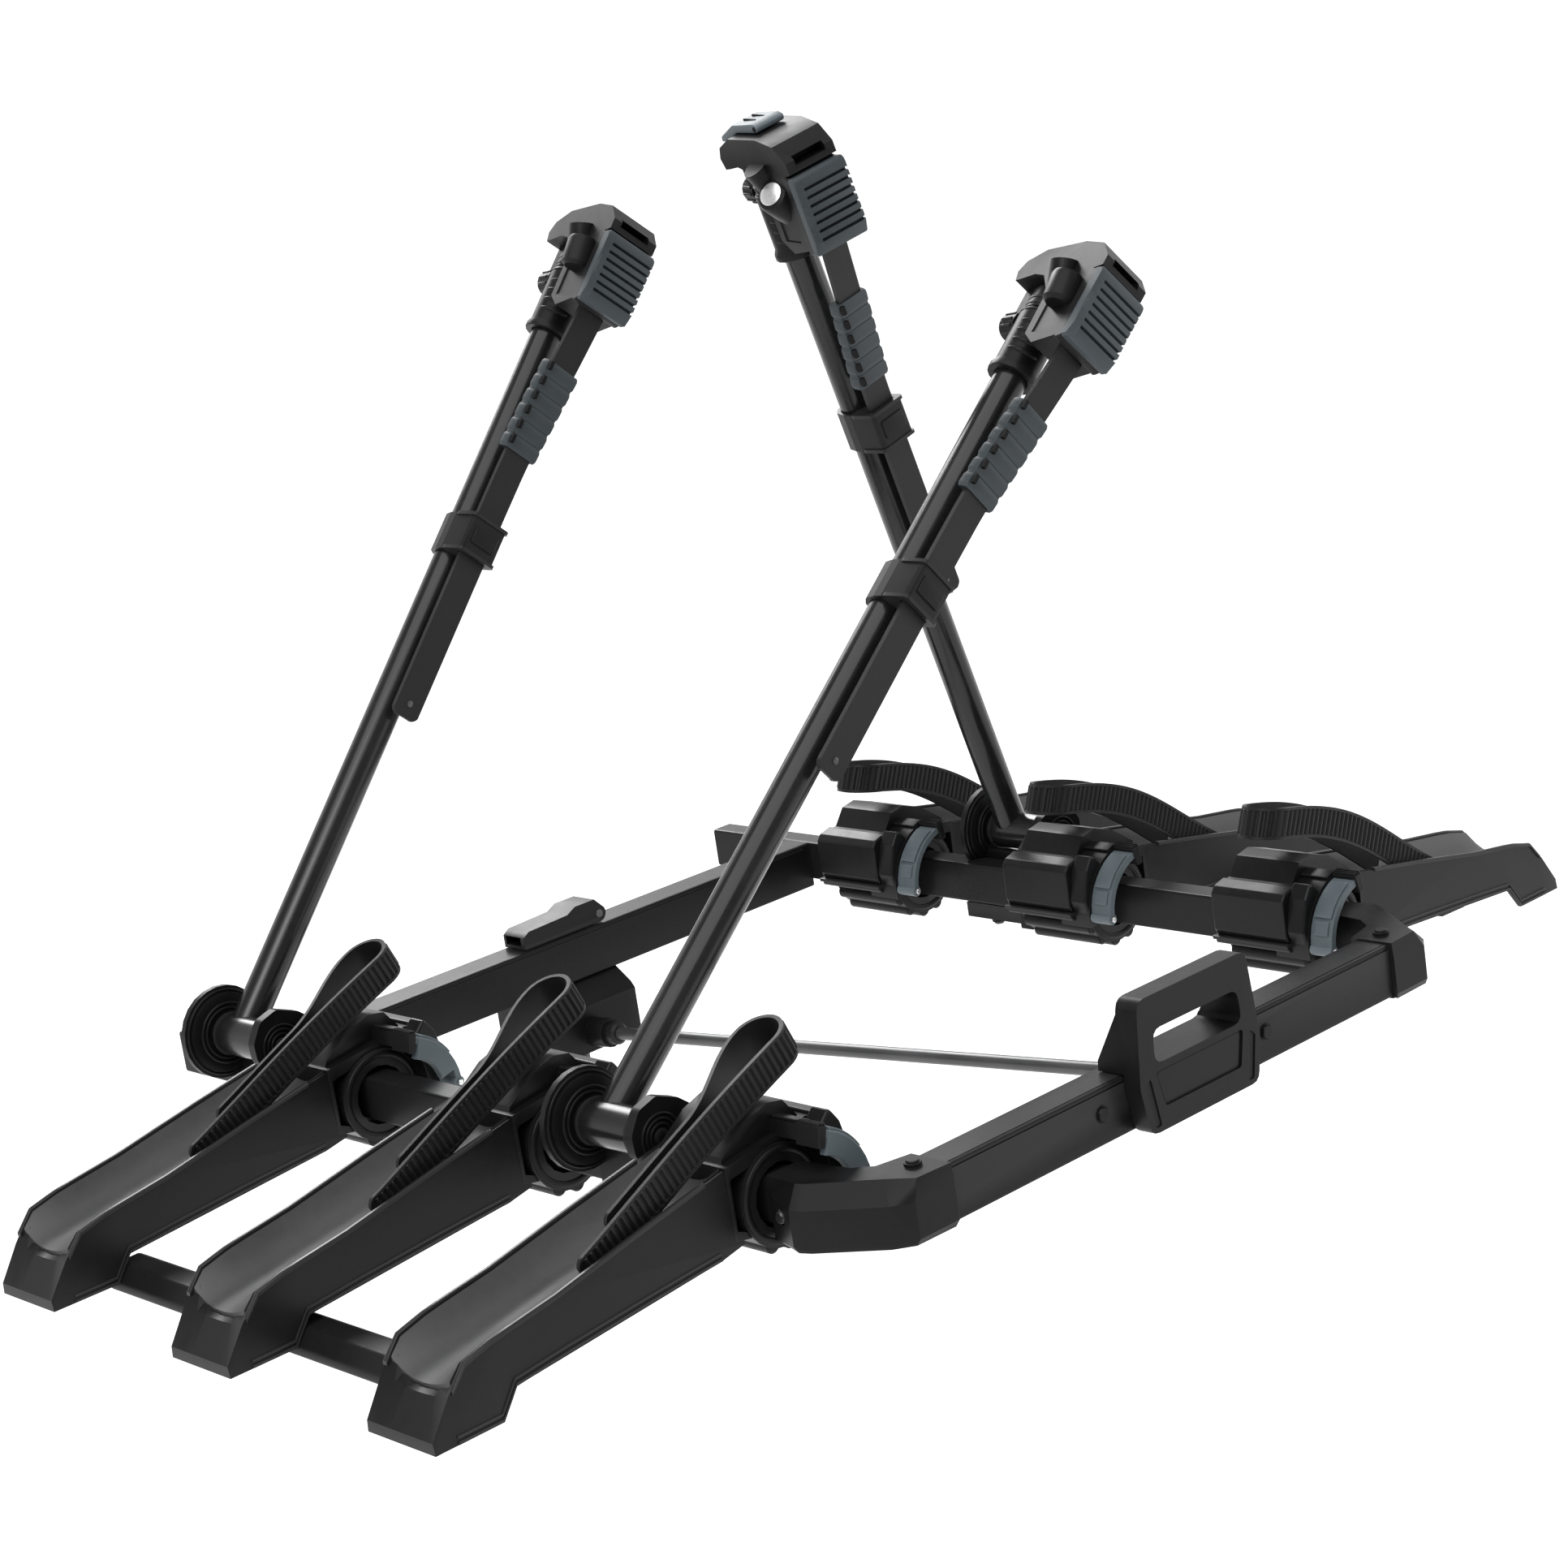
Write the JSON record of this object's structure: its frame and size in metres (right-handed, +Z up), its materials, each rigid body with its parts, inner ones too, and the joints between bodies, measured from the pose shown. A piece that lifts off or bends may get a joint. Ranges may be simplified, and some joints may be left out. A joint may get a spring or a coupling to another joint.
{
  "type": "hitch mounted bike rack",
  "caption": "Folding carrier that clamps on a tow ball and holds bicycles in hinged wheel trays with telescopic clamp arms.",
  "frame": {"origin": "centre of the tow ball that the coupler sits on", "axes": "+Z up, +Y towards the car, +X across the car to its right side, with the frame level"},
  "size_m": [1.167, 0.801, 0.787],
  "materials": {
    "black_powder_coat": "satin black powder coat",
    "black_plastic": "fine matte grain",
    "black_anodised": "satin black anodised",
    "grey_steel": "satin grey",
    "black_rubber": "matte",
    "grey_blue_plastic": "matte"
  },
  "bodies": {
    "coupler": {"coupler_body": "black_powder_coat", "tilt_pivot_pin": "grey_steel"},
    "frame": {"front_beam": "black_powder_coat", "rear_beam": "black_powder_coat", "left_side_beam": "black_powder_coat", "right_side_beam": "black_powder_coat", "left_corner_casting": "black_plastic", "right_corner_casting": "black_plastic", "latch_housing": "black_plastic", "arm1_bracket": "black_plastic", "arm2_bracket": "black_plastic", "arm3_bracket": "black_plastic"},
    "handle": {"carry_handle": "black_plastic", "release_rod": "grey_steel", "latch_bolt": "grey_steel"},
    "clamp_lever": {"clamp_lever": "black_plastic"},
    "left_trays": {"left_tray_1": "black_plastic", "left_tray_2": "black_plastic", "left_tray_3": "black_plastic", "left_wheel_strap_1": "black_rubber", "left_wheel_strap_2": "black_rubber", "left_wheel_strap_3": "black_rubber", "left_link_bar": "black_plastic"},
    "left_buckle_1": {"left_buckle_lever_1": "grey_blue_plastic"},
    "left_buckle_2": {"left_buckle_lever_2": "grey_blue_plastic"},
    "left_buckle_3": {"left_buckle_lever_3": "grey_blue_plastic"},
    "right_trays": {"right_tray_1": "black_plastic", "right_tray_2": "black_plastic", "right_tray_3": "black_plastic", "right_wheel_strap_1": "black_rubber", "right_wheel_strap_2": "black_rubber", "right_wheel_strap_3": "black_rubber", "right_link_bar": "black_plastic"},
    "right_buckle_1": {"right_buckle_lever_1": "grey_blue_plastic"},
    "right_buckle_2": {"right_buckle_lever_2": "grey_blue_plastic"},
    "right_buckle_3": {"right_buckle_lever_3": "grey_blue_plastic"},
    "arm1": {"arm1_tube": "black_anodised", "arm1_grip_collar": "black_plastic", "arm1_strap_keeper": "black_plastic"},
    "head1": {"arm1_inner_tube": "black_anodised", "arm1_head_housing": "black_plastic", "arm1_jaw_pad": "grey_blue_plastic", "arm1_frame_strap": "black_rubber"},
    "ratchet1": {"arm1_ratchet_lever": "grey_blue_plastic"},
    "arm2": {"arm2_tube": "black_anodised", "arm2_grip_collar": "black_plastic", "arm2_strap_keeper": "black_plastic"},
    "head2": {"arm2_inner_tube": "black_anodised", "arm2_head_housing": "black_plastic", "arm2_jaw_pad": "grey_blue_plastic", "arm2_frame_strap": "black_rubber"},
    "ratchet2": {"arm2_ratchet_lever": "grey_blue_plastic"},
    "arm3": {"arm3_tube": "black_anodised", "arm3_grip_collar": "black_plastic", "arm3_strap_keeper": "black_plastic"},
    "head3": {"arm3_inner_tube": "black_anodised", "arm3_head_housing": "black_plastic", "arm3_jaw_pad": "grey_blue_plastic", "arm3_frame_strap": "black_rubber"},
    "ratchet3": {"arm3_ratchet_lever": "grey_blue_plastic"}
  },
  "joints": [
    {"name": "frame_tilt", "type": "hinge", "parent": "coupler", "child": "frame", "pos_m": [0, -0.034, 0.04], "axis": [1, 0, 0], "range_deg": [0, 40]},
    {"name": "handle_pull", "type": "slide", "parent": "frame", "child": "handle", "axis": [0, -0.9957, 0.0923], "range_m": [0, 0.011], "stiffness_N_per_m": 2500, "springref_m": -0.004},
    {"name": "clamp_lever_lift", "type": "hinge", "parent": "frame", "child": "clamp_lever", "pos_m": [0.039, -0.03, 0.138], "axis": [0, 1, 0], "range_deg": [0, 80]},
    {"name": "left_trays_fold", "type": "hinge", "parent": "frame", "child": "left_trays", "pos_m": [-0.2895, -0.357, 0.113], "axis": [0, 1, 0], "range_deg": [0, 85]},
    {"name": "right_trays_fold", "type": "hinge", "parent": "frame", "child": "right_trays", "pos_m": [0.2895, -0.357, 0.113], "axis": [0, -1, 0], "range_deg": [0, 85]},
    {"name": "left_buckle_1_open", "type": "hinge", "parent": "left_trays", "child": "left_buckle_1", "pos_m": [-0.2445, -0.1395, 0.113], "axis": [0, 1, 0], "range_deg": [0, 60]},
    {"name": "left_buckle_2_open", "type": "hinge", "parent": "left_trays", "child": "left_buckle_2", "pos_m": [-0.2445, -0.357, 0.113], "axis": [0, 1, 0], "range_deg": [0, 60]},
    {"name": "left_buckle_3_open", "type": "hinge", "parent": "left_trays", "child": "left_buckle_3", "pos_m": [-0.2445, -0.5745, 0.113], "axis": [0, 1, 0], "range_deg": [0, 60]},
    {"name": "right_buckle_1_open", "type": "hinge", "parent": "right_trays", "child": "right_buckle_1", "pos_m": [0.2445, -0.1395, 0.113], "axis": [0, -1, 0], "range_deg": [0, 60]},
    {"name": "right_buckle_2_open", "type": "hinge", "parent": "right_trays", "child": "right_buckle_2", "pos_m": [0.2445, -0.357, 0.113], "axis": [0, -1, 0], "range_deg": [0, 60]},
    {"name": "right_buckle_3_open", "type": "hinge", "parent": "right_trays", "child": "right_buckle_3", "pos_m": [0.2445, -0.5745, 0.113], "axis": [0, -1, 0], "range_deg": [0, 60]},
    {"name": "arm1_swing", "type": "hinge", "parent": "frame", "child": "arm1", "pos_m": [-0.318, -0.044, 0.15], "axis": [0, -1, 0], "range_deg": [-37.2, 43.8]},
    {"name": "arm2_swing", "type": "hinge", "parent": "frame", "child": "arm2", "pos_m": [0.318, -0.2615, 0.15], "axis": [0, 1, 0], "range_deg": [-61.6, 19.4]},
    {"name": "arm3_swing", "type": "hinge", "parent": "frame", "child": "arm3", "pos_m": [-0.318, -0.479, 0.15], "axis": [0, -1, 0], "range_deg": [-28.9, 52.1]},
    {"name": "arm1_extend", "type": "slide", "parent": "arm1", "child": "head1", "axis": [0.6534, 0, 0.757], "range_m": [0, 0.12]},
    {"name": "arm2_extend", "type": "slide", "parent": "arm2", "child": "head2", "axis": [-0.2823, 0, 0.9593], "range_m": [0, 0.12]},
    {"name": "arm3_extend", "type": "slide", "parent": "arm3", "child": "head3", "axis": [0.7559, 0, 0.6547], "range_m": [0, 0.12]},
    {"name": "arm1_ratchet_open", "type": "hinge", "parent": "head1", "child": "ratchet1", "pos_m": [0.15103, -0.06975, 0.69891], "axis": [0.7496, -0.1392, -0.6471], "range_deg": [0, 55]},
    {"name": "arm2_ratchet_open", "type": "hinge", "parent": "head2", "child": "ratchet2", "pos_m": [0.13155, -0.28673, 0.76123], "axis": [0.9308, -0.2419, 0.274], "range_deg": [0, 55]},
    {"name": "arm3_ratchet_open", "type": "hinge", "parent": "head3", "child": "ratchet3", "pos_m": [0.23518, -0.50475, 0.63397], "axis": [0.6484, -0.1392, -0.7485], "range_deg": [0, 55]}
  ]
}
